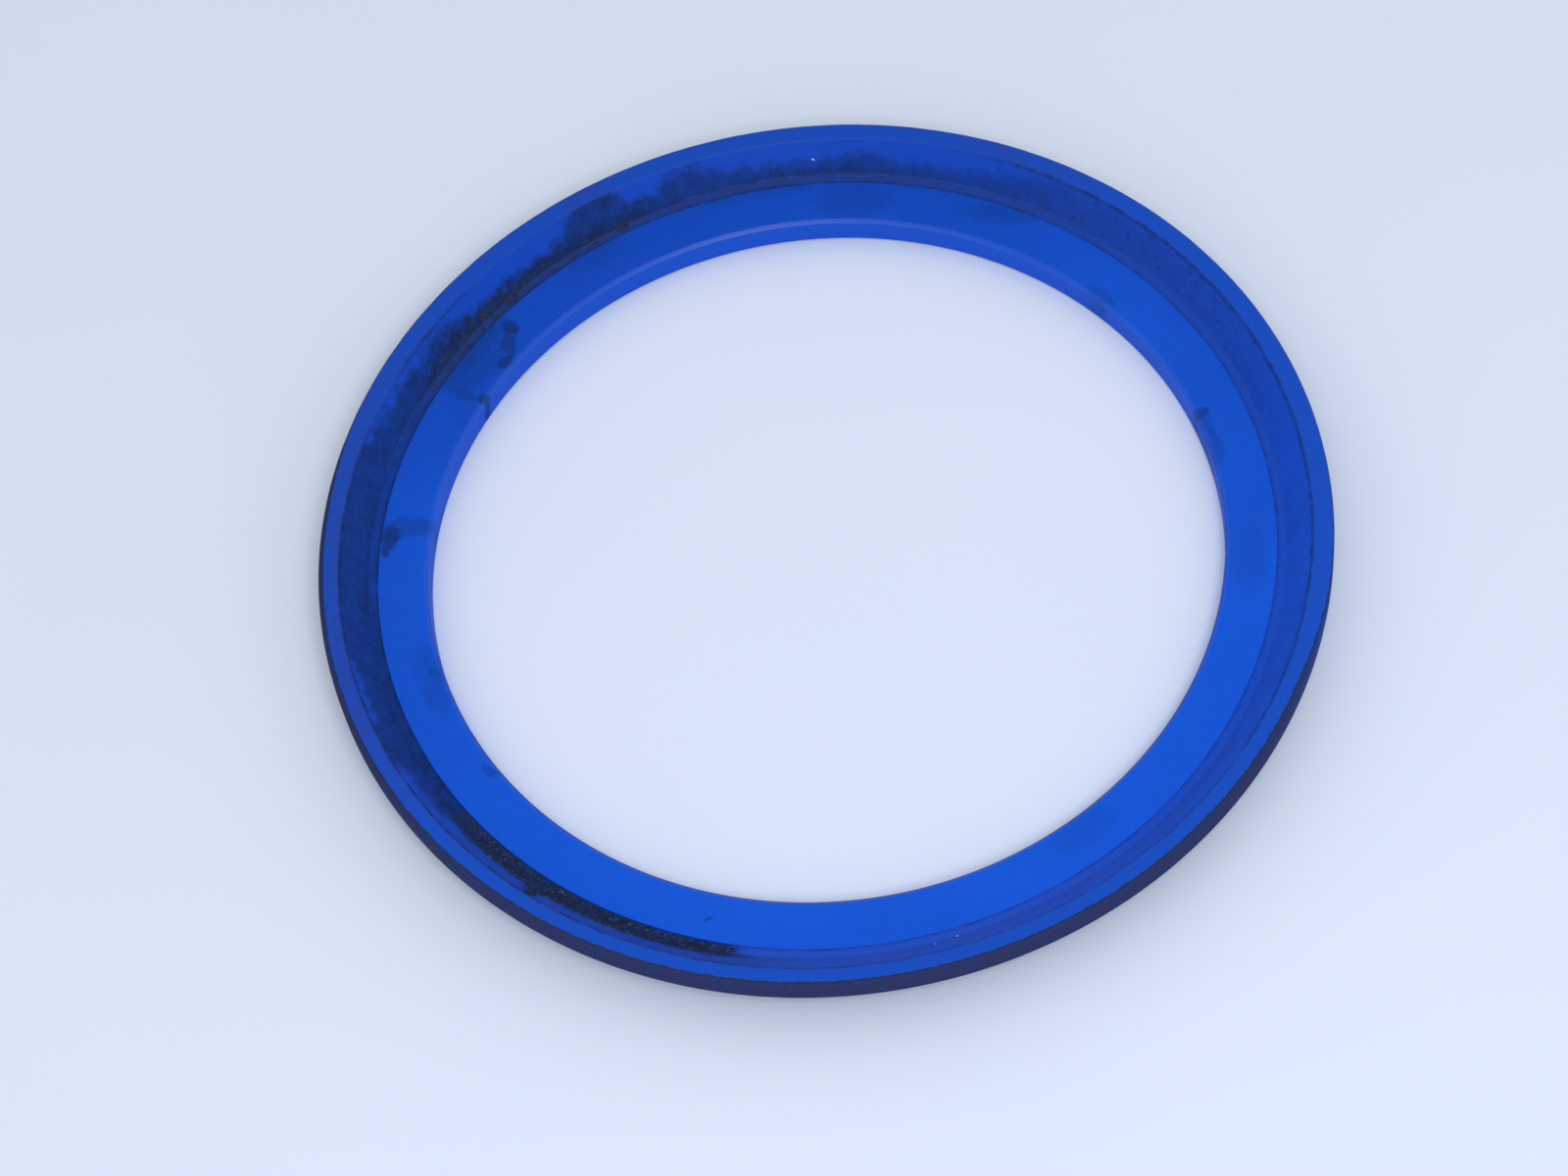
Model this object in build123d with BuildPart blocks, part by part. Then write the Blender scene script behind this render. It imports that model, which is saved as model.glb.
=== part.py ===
from build123d import *
from math import radians, tan
import os

# A cup seal: one ring of polyurethane, moulded in one piece. Its flat heel is clamped between a
# piston and a follower plate, with the bore over the piston's boss. A single lip flares out and up
# from the heel to press on the cylinder's wall. A narrow groove at the lip's root is its hinge.
#
# Millimetres and degrees. +Z is the seal's axis and points the way the cup opens, to the
# pressure side. The origin is the middle of the heel's seat, the face that the seal lies on.

# Ring
bore_diameter = 75.0  # hole that slips over the piston's boss
section_width = 10.0  # radial width of the section, from the bore to the sealing band
overall_height = 6.0  # from the heel's seat to the crest of the lip

# Heel
heel_thickness = 3.0  # from the seat to the clamp face
heel_step = 2.5  # how far the heel's rim stands in from the sealing band
heel_rim_height = 1.0  # upright rim, below the flared back of the lip
bore_chamfer = 0.3  # both edges of the bore
heel_chamfer = 0.3  # lower edge of the heel's rim

# Lip
sealing_band_height = 1.5  # upright band that touches the cylinder's wall
crest_radius = 0.6  # rounding from the crest of the lip to the sealing band
lip_land_width = 1.3  # from the lip's inner edge out to its crest
lip_land_rise = 0.2  # how much the land climbs towards the crest
lip_face_angle = 49.0  # slope of the lip's inner face, up from the horizontal
lip_root_radius = 0.8  # hollow between the heel's rim and the back of the lip

# Root groove
groove_width = 0.85
groove_depth = 1.0  # below the clamp face
groove_corner_radius = 0.25  # at the foot of each wall

# Radii and heights that follow from them
bore_radius = bore_diameter / 2
sealing_radius = bore_radius + section_width
heel_radius = sealing_radius - heel_step
crest_edge_radius = sealing_radius - crest_radius
land_edge_radius = crest_edge_radius - lip_land_width
land_edge_height = overall_height - lip_land_rise
lip_face_run = (land_edge_height - heel_thickness) / tan(radians(lip_face_angle))
groove_outer_radius = land_edge_radius - lip_face_run
clamp_face_radius = groove_outer_radius - groove_width
groove_floor_height = heel_thickness - groove_depth
band_top_height = overall_height - crest_radius
band_foot_height = band_top_height - sealing_band_height

# Corners of the section, as radius and height
bore_foot = (bore_radius, 0)
bore_top = (bore_radius, heel_thickness)
clamp_face_edge = (clamp_face_radius, heel_thickness)
groove_inner_foot = (clamp_face_radius, groove_floor_height)
groove_outer_foot = (groove_outer_radius, groove_floor_height)
lip_face_foot = (groove_outer_radius, heel_thickness)
land_edge = (land_edge_radius, land_edge_height)
crest_edge = (crest_edge_radius, overall_height)
band_top = (sealing_radius, band_top_height)
band_foot = (sealing_radius, band_foot_height)
lip_root = (heel_radius, heel_rim_height)
heel_edge = (heel_radius, 0)

rounded_corners = [
    (groove_inner_foot, groove_corner_radius),
    (groove_outer_foot, groove_corner_radius),
    (lip_root, lip_root_radius),
]
chamfered_corners = [
    (bore_foot, bore_chamfer),
    (bore_top, bore_chamfer),
    (heel_edge, heel_chamfer),
]


def corner_at(sketch, point):
    """The corner of a sketch that lies nearest to a point of its own plane."""
    return sketch.vertices().sort_by_distance(point)[0]


with BuildPart() as cup_seal:
    with BuildSketch(Plane.XZ) as section:
        with BuildLine():
            # Cup side, from the bore out: clamp face, root groove, the lip's face and its land
            Polyline(bore_foot, bore_top, clamp_face_edge, groove_inner_foot, groove_outer_foot)
            Polyline(groove_outer_foot, lip_face_foot, land_edge, crest_edge)
            # Crest, rounded into the sealing band
            TangentArc(band_top, crest_edge, tangent=(0, 1))
            # Back, from the sealing band down: flare, the heel's rim and its seat
            Polyline(band_top, band_foot, lip_root, heel_edge, bore_foot)
        make_face()
        for corner, radius in rounded_corners:
            fillet(corner_at(section.sketch_local, corner), radius)
        for corner, length in chamfered_corners:
            chamfer(corner_at(section.sketch_local, corner), length)
    revolve(axis=Axis.Z)

cup_seal.part.label = "cup_seal"

os.makedirs("parts", exist_ok=True)
export_step(cup_seal.part, "parts/cup_seal.step")
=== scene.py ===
"""Looks of a used polyurethane cup seal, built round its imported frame.

The ring is turned from its own section. The dirt of service lies on it in layers: dust packed in the
root groove, two crusts caked over stretches of it, grit on both, specks of lint, and films and smudges
in the ring's finish. A place round the ring is a bearing, in degrees clockwise from +X as seen from
above, and a place across it is a radius. Covers run from 0 to 1. Sizes in the classes are millimetres,
apart from those of the studio, and meshes are in metres.
"""

import logging
import math
import random
from dataclasses import dataclass, field
from typing import Any, Callable, Optional, Sequence, Union

import bmesh
import bpy
from mathutils import Matrix, Vector


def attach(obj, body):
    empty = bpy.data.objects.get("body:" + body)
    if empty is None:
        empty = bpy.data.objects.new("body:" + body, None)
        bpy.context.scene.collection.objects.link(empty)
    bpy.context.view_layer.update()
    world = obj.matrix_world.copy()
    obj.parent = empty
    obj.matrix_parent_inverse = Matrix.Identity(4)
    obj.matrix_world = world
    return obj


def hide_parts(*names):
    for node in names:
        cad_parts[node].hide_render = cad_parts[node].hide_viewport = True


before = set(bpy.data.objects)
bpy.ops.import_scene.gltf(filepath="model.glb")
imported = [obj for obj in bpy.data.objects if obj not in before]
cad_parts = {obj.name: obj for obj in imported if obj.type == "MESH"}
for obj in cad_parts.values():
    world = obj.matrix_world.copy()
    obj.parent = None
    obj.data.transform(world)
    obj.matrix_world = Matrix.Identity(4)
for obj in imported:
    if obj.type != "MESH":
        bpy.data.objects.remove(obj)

LOG = logging.getLogger("cup_seal")
MM = 0.001
FULL_TURN = 2.0 * math.pi
NODE = "cup_seal"
BODY = "root"
WELD_DISTANCE = 1.0e-6

Point = tuple[float, float]
Stops = tuple[Point, ...]


@dataclass(frozen=True)
class Colour:
    """A colour as a display shows it, each part from 0 to 255."""

    red: float
    green: float
    blue: float

    def linear(self) -> tuple[float, float, float, float]:
        """Give the colour as a shader wants it.

        Returns:
            Linear red, green and blue, and an alpha of 1.
        """
        red, green, blue = (self._decode(part / 255.0) for part in (self.red, self.green, self.blue))
        return red, green, blue, 1.0

    @staticmethod
    def _decode(part: float) -> float:
        """Linear amount of one display value."""
        return part / 12.92 if part <= 0.04045 else ((part + 0.055) / 1.055) ** 2.4


def operator(operation: str, swapped: bool = False) -> Callable[["Signal", "Operand"], "Signal"]:
    """Make a method of a signal that adds a Math node.

    Args:
        operation: Name of the node's operation.
        swapped: Whether the other operand comes first.

    Returns:
        Method that takes the other operand and gives the result.
    """

    def method(signal: "Signal", other: "Operand") -> "Signal":
        """Result of the operation on the two."""
        return signal.graph.math(operation, *((other, signal) if swapped else (signal, other)))

    return method


@dataclass(frozen=True)
class Signal:
    """One output of a node, which adds Math nodes to its tree when Python does sums on it."""

    graph: "Graph"
    socket: bpy.types.NodeSocket

    __add__ = operator("ADD")
    __radd__ = operator("ADD", swapped=True)
    __sub__ = operator("SUBTRACT")
    __rsub__ = operator("SUBTRACT", swapped=True)
    __mul__ = operator("MULTIPLY")
    __rmul__ = operator("MULTIPLY", swapped=True)
    __truediv__ = operator("DIVIDE")
    __pow__ = operator("POWER")
    least = operator("MINIMUM")
    most = operator("MAXIMUM")

    def ramp(self, start: "Operand", end: "Operand") -> "Signal":
        """Go smoothly from 0, where this is the start, to 1, where it is the end."""
        span = {"Value": self, "From Min": start, "From Max": end}
        return self.graph.signal("ShaderNodeMapRange", {"interpolation_type": "SMOOTHSTEP"}, span)

    def curve(self, stops: Stops) -> "Signal":
        """Follow a curve through stops.

        Args:
            stops: Pairs of input, from 0 to 1, and value.

        Returns:
            Value of the curve where this signal is.
        """
        values = [value for _, value in stops]
        low, span = min(values), (max(values) - min(values)) or 1.0
        points = tuple((place, (value - low) / span) for place, value in stops)
        level = self.graph.signal("ShaderNodeFloatCurve", {"points": points}, {"Value": self})
        return level * span + low


Operand = Union[Signal, float]


class Graph:
    """Adds nodes to one shader or geometry tree."""

    def __init__(self, tree: bpy.types.NodeTree) -> None:
        """Empty a tree and keep it."""
        tree.nodes.clear()
        self.tree = tree

    def node(
        self,
        kind: str,
        settings: Optional[dict[str, Any]] = None,
        inputs: Optional[dict[Union[str, int], Any]] = None,
    ) -> bpy.types.Node:
        """Add one node, with its settings made before its sockets are filled.

        Args:
            kind: Blender's name of the node type.
            settings: Properties of the node, and "points" for the points of a curve.
            inputs: Values or signals by socket name or number.

        Returns:
            The new node.
        """
        node = self.tree.nodes.new(kind)
        for name, value in (settings or {}).items():
            if name == "points":
                self._set_points(node, value)
            else:
                setattr(node, name, value)
        for name, value in (inputs or {}).items():
            if isinstance(value, Signal):
                self.tree.links.new(value.socket, node.inputs[name])
            else:
                node.inputs[name].default_value = value
        return node

    @staticmethod
    def _set_points(node: bpy.types.Node, points: Stops) -> None:
        """Give a curve node its points.

        Args:
            node: Float Curve node.
            points: Places and values, both from 0 to 1, in order.
        """
        curve = node.mapping.curves[0]
        for place, value in points[1:-1]:
            curve.points.new(place, value)
        for point, location in zip(curve.points, points):
            point.location = location
            point.handle_type = "AUTO_CLAMPED"
        node.mapping.update()

    def signal(
        self,
        kind: str,
        settings: Optional[dict[str, Any]] = None,
        inputs: Optional[dict[Union[str, int], Any]] = None,
        output: Union[str, int] = 0,
    ) -> Signal:
        """Add one node, as node does, and take its output of a name or number."""
        return Signal(self, self.node(kind, settings, inputs).outputs[output])

    def math(self, operation: str, *operands: Operand) -> Signal:
        """Add a Math node with its operands in order, and take its result."""
        return self.signal("ShaderNodeMath", {"operation": operation}, dict(enumerate(operands)))

    def vector(self, operation: str, first: Signal, second: Any) -> Signal:
        """Add a Vector Math node, whose second operand is a vector, or the number for SCALE."""
        other = "Scale" if operation == "SCALE" else 1
        return self.signal("ShaderNodeVectorMath", {"operation": operation}, {0: first, other: second})

    def compose(self, x: Operand, y: Operand, z: Operand) -> Signal:
        """Vector of three numbers."""
        return self.signal("ShaderNodeCombineXYZ", None, {0: x, 1: y, 2: z})

    def parts(self, vector: Signal) -> tuple[Signal, Signal, Signal]:
        """Three numbers of a vector."""
        x, y, z = self.node("ShaderNodeSeparateXYZ", None, {0: vector}).outputs
        return Signal(self, x), Signal(self, y), Signal(self, z)

    def blend(self, factor: Operand, below: Any, above: Any) -> Signal:
        """Mix two colours.

        Args:
            factor: Share of the upper colour, from 0 to 1.
            below: Colour or signal that shows at 0.
            above: Colour or signal that shows at 1.

        Returns:
            Mixed colour.
        """
        first, second = (c.linear() if isinstance(c, Colour) else c for c in (below, above))
        settings = {"data_type": "RGBA", "clamp_factor": True}
        return self.signal("ShaderNodeMix", settings, {0: factor, 6: first, 7: second}, 2)


class RingPlace:
    """Where a point of the ring is, in millimetres and in turns of bearing."""

    def __init__(self, graph: Graph, position: Signal) -> None:
        """Work out the polar coordinates of a position.

        Args:
            graph: Graph that gets the nodes.
            position: Position in millimetres.
        """
        self.graph = graph
        self.position = position
        self.x, self.y, self.height = graph.parts(position)
        self.radius = (self.x * self.x + self.y * self.y) ** 0.5
        angle = graph.math("ARCTAN2", self.y, self.x)
        self.turn = graph.math("FRACT", 1.0 - angle / FULL_TURN)

    def noise(
        self, size: float, detail: float = 3.0, rough: float = 0.55, output: Union[str, int] = 0
    ) -> Signal:
        """Noise about 0.5, with features of a size in millimetres and finer layers of a strength."""
        inputs = {"Vector": self.position, "Scale": 1.0 / size, "Detail": detail, "Roughness": rough}
        return self.graph.signal("ShaderNodeTexNoise", None, inputs, output)

    def scattered(self, size: float, reach: float, detail: float = 3.0) -> "RingPlace":
        """Push the place about by noise, so that what is drawn from it has ragged edges.

        Args:
            size: Size of the noise's features in millimetres.
            reach: How far the place may move, in millimetres.
            detail: Number of finer layers.

        Returns:
            The moved place.
        """
        centred = self.graph.vector("SUBTRACT", self.noise(size, detail, 0.6, "Color"), (0.5, 0.5, 0.5))
        push = self.graph.vector("SCALE", centred, 4.0 * reach)
        return RingPlace(self.graph, self.graph.vector("ADD", self.position, push))

    def round(self, stops: Stops) -> Signal:
        """Value at this place's bearing of a curve through stops of a bearing and a value."""
        return self.turn.curve(tuple((bearing / 360.0, value) for bearing, value in stops))

    def band(self, inner: Operand, outer: Operand, soft: float = 0.2) -> Signal:
        """Give 1 between two radii and 0 outside them, with a fade of a given width across each."""
        return ((self.radius - inner) / soft).ramp(-0.5, 0.5) * self.within(outer, soft)

    def within(self, edge: Operand, soft: float) -> Signal:
        """Give 1 inside a radius and 0 outside it, with a fade of a given width across it."""
        return ((self.radius - edge) / soft).ramp(0.5, -0.5)


@dataclass(frozen=True)
class SealSection:
    """The seal's section: its sizes, and its outline in radii and heights."""

    bore_radius: float = 37.5
    section_width: float = 10.0
    overall_height: float = 6.0
    heel_thickness: float = 3.0
    heel_step: float = 2.5
    heel_rim_height: float = 1.0
    bore_chamfer: float = 0.3
    heel_chamfer: float = 0.3
    sealing_band_height: float = 1.5
    crest_radius: float = 0.6
    lip_land_width: float = 1.3
    lip_land_rise: float = 0.2
    lip_face_angle: float = 49.0
    lip_root_radius: float = 0.8
    groove_width: float = 0.85
    groove_depth: float = 1.0
    groove_corner_radius: float = 0.25
    broken_edge: float = 0.08
    bore_edge_setback: float = 0.4

    @property
    def sealing_radius(self) -> float:
        """Radius of the band that touches the cylinder."""
        return self.bore_radius + self.section_width

    @property
    def heel_radius(self) -> float:
        """Radius of the heel's rim."""
        return self.sealing_radius - self.heel_step

    @property
    def crest_edge(self) -> Point:
        """Top of the lip."""
        return self.sealing_radius - self.crest_radius, self.overall_height

    @property
    def land_edge(self) -> Point:
        """Inner edge of the land on top of the lip."""
        return self.crest_edge[0] - self.lip_land_width, self.overall_height - self.lip_land_rise

    @property
    def lip_slope(self) -> float:
        """Rise of the lip's inner face for each millimetre of radius."""
        return math.tan(math.radians(self.lip_face_angle))

    @property
    def groove_outer_radius(self) -> float:
        """Radius where the lip's inner face meets the groove."""
        radius, height = self.land_edge
        return radius - (height - self.heel_thickness) / self.lip_slope

    @property
    def clamp_face_radius(self) -> float:
        """Outer radius of the clamp face."""
        return self.groove_outer_radius - self.groove_width

    @property
    def groove_floor(self) -> float:
        """Height of the groove's floor."""
        return self.heel_thickness - self.groove_depth

    def lip_face_height(self, radius: float) -> float:
        """Height of the lip's inner face at a radius."""
        return self.heel_thickness + (radius - self.groove_outer_radius) * self.lip_slope

    def outline(self) -> list[Vector]:
        """Walk round the section from the bore's foot, up the bore and back along the seat.

        Returns:
            Points of a fine polygon.
        """
        top, seal, heel = self.heel_thickness, self.sealing_radius, self.heel_radius
        inner, outer, floor = self.clamp_face_radius, self.groove_outer_radius, self.groove_floor
        bore, edge = self.bore_radius, self.broken_edge
        band_foot = self.overall_height - self.crest_radius - self.sealing_band_height
        corners = [
            (Vector((bore + self.bore_chamfer, 0.0)), edge),
            (Vector((bore, self.bore_chamfer)), edge),
            (Vector((bore, top - self.bore_chamfer)), edge),
            (Vector((bore + self.bore_edge_setback, top)), edge),
            (Vector((inner, top)), edge),
            (Vector((inner, floor)), self.groove_corner_radius),
            (Vector((outer, floor)), self.groove_corner_radius),
            (Vector((outer, top)), edge),
            (Vector(self.land_edge), 2.0 * edge),
            (Vector(self.crest_edge), edge),
            (Vector((seal, self.overall_height)), self.crest_radius - edge),
            (Vector((seal, band_foot)), edge),
            (Vector((heel, self.heel_rim_height)), self.lip_root_radius),
            (Vector((heel, self.heel_chamfer)), edge),
            (Vector((heel - self.heel_chamfer, 0.0)), edge),
        ]
        return supported(rounded_polygon(corners))


def rounded_polygon(corners: Sequence[tuple[Vector, float]], turn_step: float = 15.0) -> list[Vector]:
    """Round the corners of a polygon.

    Args:
        corners: Each corner and the radius of its rounding.
        turn_step: Degrees of turn between the points of a rounding.

    Returns:
        Points of the rounded polygon, in order.
    """
    points = []
    for index, (corner, radius) in enumerate(corners):
        back = (corners[index - 1][0] - corner).normalized()
        ahead = (corners[(index + 1) % len(corners)][0] - corner).normalized()
        half = back.angle(ahead) / 2.0
        centre = corner + (back + ahead).normalized() * radius / math.sin(half)
        first = corner + back * radius / math.tan(half) - centre
        last = corner + ahead * radius / math.tan(half) - centre
        turn = math.copysign(math.pi - 2.0 * half, first.x * last.y - first.y * last.x)
        steps = max(1, round(abs(math.degrees(turn)) / turn_step))
        points += [centre + Matrix.Rotation(turn * step / steps, 2) @ first for step in range(steps + 1)]
    return points


def supported(points: Sequence[Vector], gap: float = 0.12, longest: float = 1.6) -> list[Vector]:
    """Add points to the straight runs of a closed line, so that shading stays flat on them.

    Args:
        points: Points of the line.
        gap: Distance of the added points from the ends of a run.
        longest: Greatest distance between the points of a long run.

    Returns:
        Points with those between them.
    """
    full = []
    for start, end in zip(points, [*points[1:], points[0]]):
        full.append(start)
        run = end - start
        if run.length > 3.0 * gap:
            ahead = run.normalized() * gap
            count = max(1, math.ceil((run.length - 2.0 * gap) / longest))
            full += [(start + ahead).lerp(end - ahead, step / count) for step in range(count + 1)]
    return full


def link(thing: bpy.types.Object) -> bpy.types.Object:
    """Put an object in the scene and give it back."""
    bpy.context.scene.collection.objects.link(thing)
    return thing


Rule = Callable[[RingPlace], Signal]


class GeometryGraph(Graph):
    """A geometry tree with named inputs and one geometry output."""

    def __init__(self, name: str, inputs: dict[str, str]) -> None:
        """Make the tree and its interface.

        Args:
            name: Name of the tree.
            inputs: Names of the inputs and their socket types.
        """
        super().__init__(bpy.data.node_groups.new(name, "GeometryNodeTree"))
        interface = self.tree.interface
        interface.new_socket("Geometry", in_out="INPUT", socket_type="NodeSocketGeometry")
        for label, kind in inputs.items():
            interface.new_socket(label, in_out="INPUT", socket_type=kind)
        interface.new_socket("Geometry", in_out="OUTPUT", socket_type="NodeSocketGeometry")
        self.entry = self.node("NodeGroupInput")

    def given(self, label: str) -> Signal:
        """Signal of one named input."""
        return Signal(self, self.entry.outputs[label])

    def shape(self, label: str) -> Signal:
        """Geometry of the object that a named input holds."""
        settings = {"transform_space": "ORIGINAL"}
        return self.signal("GeometryNodeObjectInfo", settings, {"Object": self.given(label)}, "Geometry")

    def attribute(self, name: str, kind: str) -> Signal:
        """Value of a named attribute of a kind."""
        return self.signal("GeometryNodeInputNamedAttribute", {"data_type": kind}, {"Name": name})

    def finish(self, shape: Signal) -> None:
        """End the tree in real, smooth geometry with the material of the Finish input.

        Args:
            shape: Geometry to end with.
        """
        smooth = self.signal("GeometryNodeSetShadeSmooth", None, {0: shape})
        real = self.signal("GeometryNodeRealizeInstances", None, {"Geometry": smooth})
        dress = {"Geometry": real, "Material": self.given("Finish")}
        self.node("NodeGroupOutput", None, {0: self.signal("GeometryNodeSetMaterial", None, dress)})

    def make(self, name: str, values: dict[str, Any]) -> bpy.types.Object:
        """Run the tree and keep its result as a plain mesh.

        Args:
            name: Name of the new piece.
            values: Value of each named input.

        Returns:
            Object at the origin, with no modifier.
        """
        maker = link(bpy.data.objects.new(f"{name}_maker", bpy.data.meshes.new(f"{name}_maker")))
        modifier = maker.modifiers.new("tree", "NODES")
        modifier.node_group = self.tree
        sockets = [item for item in self.tree.interface.items_tree if item.in_out == "INPUT"]
        for socket in sockets:
            if socket.name in values:
                modifier[socket.identifier] = values[socket.name]
        depsgraph = bpy.context.evaluated_depsgraph_get()
        made = maker.evaluated_get(depsgraph)
        mesh = bpy.data.meshes.new_from_object(made, preserve_all_data_layers=True, depsgraph=depsgraph)
        bpy.data.objects.remove(maker)
        mesh.name = name
        return link(bpy.data.objects.new(name, mesh))


@dataclass(frozen=True)
class SectionPoint:
    """A point of a section, and the direction in which it may be lifted."""

    place: Vector
    lift: Vector = field(default_factory=lambda: Vector((0.0, 0.0)))


class SweptTree(GeometryGraph):
    """Sweeps a closed section about the axis, and lifts its points by what a rule gives for their place."""

    def __init__(self, name: str, rule: Rule) -> None:
        """Build the tree.

        Args:
            name: Name of the tree.
            rule: Gives how far a point is lifted, in millimetres.
        """
        numbers = {"Points": "NodeSocketInt", "Segments": "NodeSocketInt"}
        span = {"Start": "NodeSocketFloat", "Sweep": "NodeSocketFloat"}
        ends = {"Section": "NodeSocketObject", "Finish": "NodeSocketMaterial"}
        super().__init__(name, {**ends, **numbers, **span})
        columns, rows = self.given("Segments") + 1.0, self.given("Points")
        grid = self.signal("GeometryNodeMeshGrid", None, {0: 1.0, 1: 1.0, 2: columns, 3: rows})
        along, across, _ = self.parts(self.signal("GeometryNodeInputPosition"))
        index = self.math("ROUND", (across + 0.5) * (rows - 1.0))
        radius, _, height = self.parts(self._section_value(index, self.signal("GeometryNodeInputPosition")))
        lift = self._section_value(index, self.attribute("lift", "FLOAT_VECTOR"))
        lift_out, _, lift_up = self.parts(lift)
        angle = (self.given("Start") + (along + 0.5) * self.given("Sweep")) * -FULL_TURN
        cosine, sine = self.math("COSINE", angle), self.math("SINE", angle)
        at = self.compose(radius * cosine, radius * sine, height)
        amount = rule(RingPlace(self, self.vector("SCALE", at, 1.0 / MM)))
        weight = (lift_out * lift_out + lift_up * lift_up) ** 0.5
        stored = {"Geometry": grid, "Name": "depth", "Value": amount * weight}
        settings = {"data_type": "FLOAT", "domain": "POINT"}
        kept = self.signal("GeometryNodeStoreNamedAttribute", settings, stored)
        swept_radius = radius + lift_out * amount * MM
        place = self.compose(swept_radius * cosine, swept_radius * sine, height + lift_up * amount * MM)
        placed = self.signal("GeometryNodeSetPosition", None, {"Geometry": kept, "Position": place})
        seam = {"Geometry": placed, "Distance": WELD_DISTANCE}
        self.finish(self.signal("GeometryNodeMergeByDistance", None, seam))

    def _section_value(self, index: Signal, value: Signal) -> Signal:
        """Vector that the section's point of an index holds.

        Args:
            index: Number of the point.
            value: Field to read there.

        Returns:
            Value of the field at that point.
        """
        settings = {"data_type": "FLOAT_VECTOR", "domain": "POINT"}
        inputs = {"Geometry": self.shape("Section"), "Value": value, "Index": index}
        return self.signal("GeometryNodeSampleIndex", settings, inputs)

    def sweep(
        self,
        name: str,
        section: Sequence[SectionPoint],
        segments: int,
        finish: bpy.types.Material,
        start: float = 0.0,
        end: float = 360.0,
    ) -> bpy.types.Object:
        """Sweep a section.

        Args:
            name: Name of the new piece.
            section: Points of the closed section, so ordered that the faces point outwards.
            segments: Number of steps round the axis.
            finish: Material of the piece.
            start: Bearing where the sweep starts, in degrees.
            end: Bearing where it ends.

        Returns:
            The swept piece.
        """
        loop = [*section, section[0]]
        mesh = bpy.data.meshes.new(f"{name}_section")
        mesh.from_pydata([(p.place.x * MM, 0.0, p.place.y * MM) for p in loop], [], [])
        lift = mesh.attributes.new("lift", "FLOAT_VECTOR", "POINT")
        for point, item in zip(loop, lift.data):
            item.vector = (point.lift.x, 0.0, point.lift.y)
        line = link(bpy.data.objects.new(f"{name}_section", mesh))
        span = {"Start": start / 360.0, "Sweep": (end - start) / 360.0}
        counts = {"Points": len(loop), "Segments": segments}
        piece = self.make(name, {"Section": line, "Finish": finish, **counts, **span})
        bpy.data.objects.remove(line)
        return piece


class GrainTree(GeometryGraph):
    """Scatters small many-sided grains over a piece where it stands proud."""

    def __init__(self, name: str, share: Rule) -> None:
        """Build the tree.

        Args:
            name: Name of the tree.
            share: Gives the share of the greatest density at a place.
        """
        sizes = {"Density": "NodeSocketFloat", "Smallest": "NodeSocketFloat", "Largest": "NodeSocketFloat"}
        ends = {"Bed": "NodeSocketObject", "Finish": "NodeSocketMaterial", "Seed": "NodeSocketInt"}
        super().__init__(name, {**ends, **sizes})
        bed = self.shape("Bed")
        position = self.vector("SCALE", self.signal("GeometryNodeInputPosition"), 1.0 / MM)
        proud = self.attribute("depth", "FLOAT").ramp(0.01, 0.08)
        density = self.given("Density") * share(RingPlace(self, position)) * proud
        inputs = {"Mesh": bed, "Density": density, "Seed": self.given("Seed")}
        points = self.signal("GeometryNodeDistributePointsOnFaces", {"distribute_method": "RANDOM"}, inputs)
        grain = self.signal("GeometryNodeMeshIcoSphere", None, {"Radius": 1.0, "Subdivisions": 1})
        turn = self._random((-math.pi,) * 3, (math.pi,) * 3, 1)
        stretch = self._random((0.6, 0.7, 0.5), (1.3, 1.2, 1.0), 2)
        size = self._random(self.given("Smallest"), self.given("Largest"), 3, "FLOAT")
        inputs = {"Points": points, "Instance": grain, "Rotation": turn}
        inputs["Scale"] = self.vector("SCALE", stretch, size * MM)
        self.finish(self.signal("GeometryNodeInstanceOnPoints", None, inputs))

    def _random(self, low: Any, high: Any, seed: int, kind: str = "FLOAT_VECTOR") -> Signal:
        """Random value of a kind between two, with a fixed seed."""
        limits = {"Min": low, "Max": high, "Seed": seed}
        return self.signal("FunctionNodeRandomValue", {"data_type": kind}, limits, "Value")


class ShaderGraph(Graph):
    """Node tree of one material, which ends in a principled shader."""

    def __init__(self, name: str) -> None:
        """Make the material.

        Args:
            name: Name of the material.
        """
        self.material = bpy.data.materials.new(name)
        self.material.use_nodes = True
        super().__init__(self.material.node_tree)

    def place(self) -> RingPlace:
        """Place on the piece, from Object coordinates."""
        coordinates = self.signal("ShaderNodeTexCoord", None, None, "Object")
        return RingPlace(self, self.vector("SCALE", coordinates, 1.0 / MM))

    def finish(
        self, surface: "Surface", relief: Signal, gloss: float, polish: Operand = 0.0
    ) -> bpy.types.Material:
        """End the tree in a shader.

        Args:
            surface: Colour and roughness.
            relief: Height of the fine relief, in millimetres.
            gloss: Specular level, the same all over.
            polish: Weight of a smooth coat.

        Returns:
            The finished material.
        """
        relief_inputs = {"Height": relief, "Distance": MM, "Strength": 1.0}
        normal = self.signal("ShaderNodeBump", None, relief_inputs, "Normal")
        inputs = {"Base Color": surface.colour, "Roughness": surface.roughness, "Normal": normal}
        inputs |= {"Specular IOR Level": gloss, "Coat Weight": polish, "Coat Roughness": 0.4}
        shader = self.signal("ShaderNodeBsdfPrincipled", None, inputs)
        self.node("ShaderNodeOutputMaterial", None, {"Surface": shader})
        return self.material


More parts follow.
